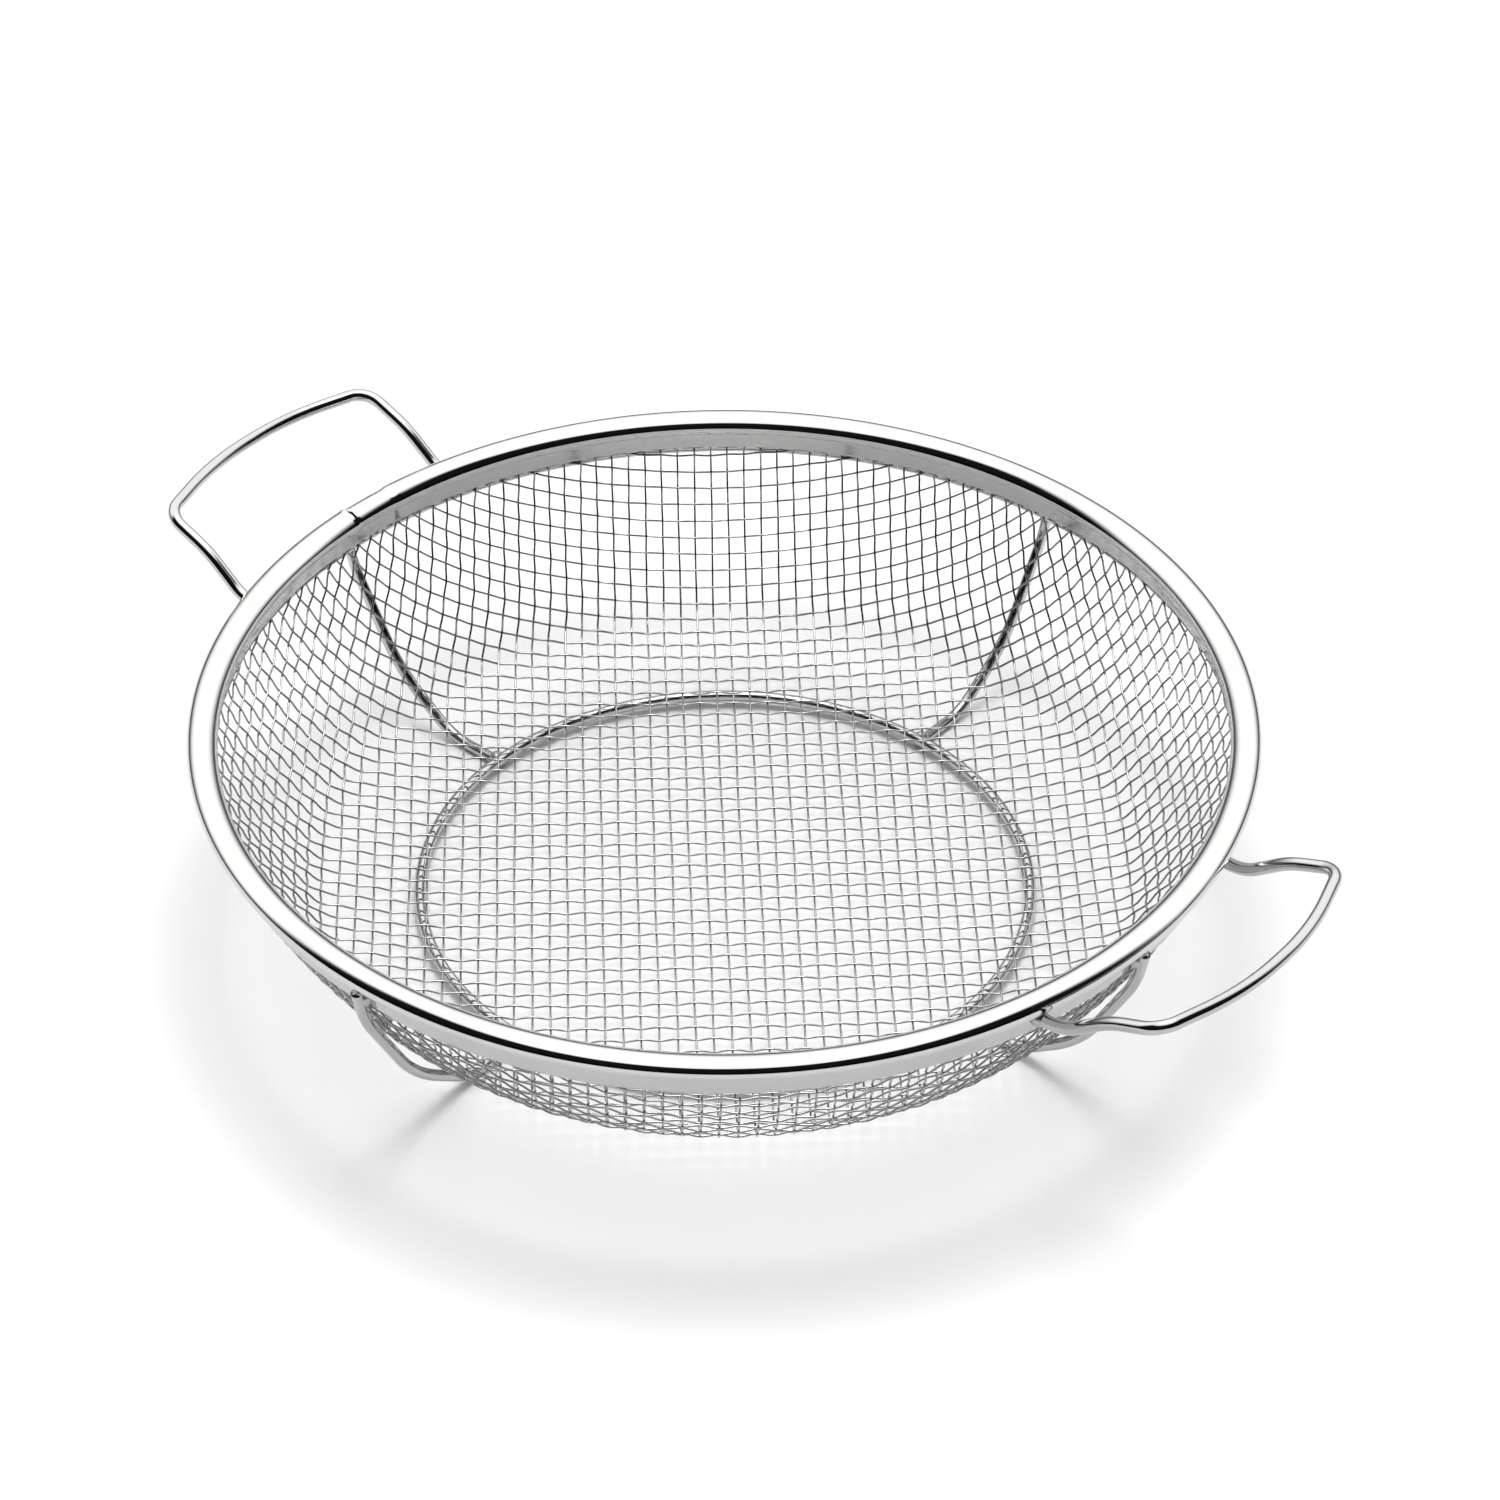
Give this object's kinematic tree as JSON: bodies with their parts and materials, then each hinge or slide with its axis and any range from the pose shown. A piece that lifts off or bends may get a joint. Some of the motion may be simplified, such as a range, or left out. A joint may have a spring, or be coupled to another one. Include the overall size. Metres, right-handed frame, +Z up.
{
  "type": "strainer bowl",
  "caption": "Shallow wire-mesh strainer bowl with a rolled rim, a flat bottom on a wire ring, bent wire legs and looped wire handles.",
  "frame": {"origin": "on the surface that the bowl stands on, under the centre of the bowl", "axes": "+Z up, the handles along X, legs on +X, +Y, -X and -Y, the rim's lap joint on -X"},
  "size_m": [0.3178, 0.254, 0.0636],
  "materials": {
    "polished_steel": "polished stainless sheet",
    "wire_cloth": "bright drawn stainless wire, plain weave",
    "steel_wire": "electropolished stainless wire",
    "weld": "electropolished weld"
  },
  "bodies": {
    "root": {"rim_band": "polished_steel", "mesh_bowl": "wire_cloth", "base_ring": "steel_wire", "leg_right": "steel_wire", "leg_back": "steel_wire", "leg_left": "steel_wire", "leg_front": "steel_wire", "handle_right": "steel_wire", "handle_left": "steel_wire", "handle_welds": "weld", "leg_rim_welds": "weld", "leg_ring_welds": "weld"}
  },
  "joints": []
}
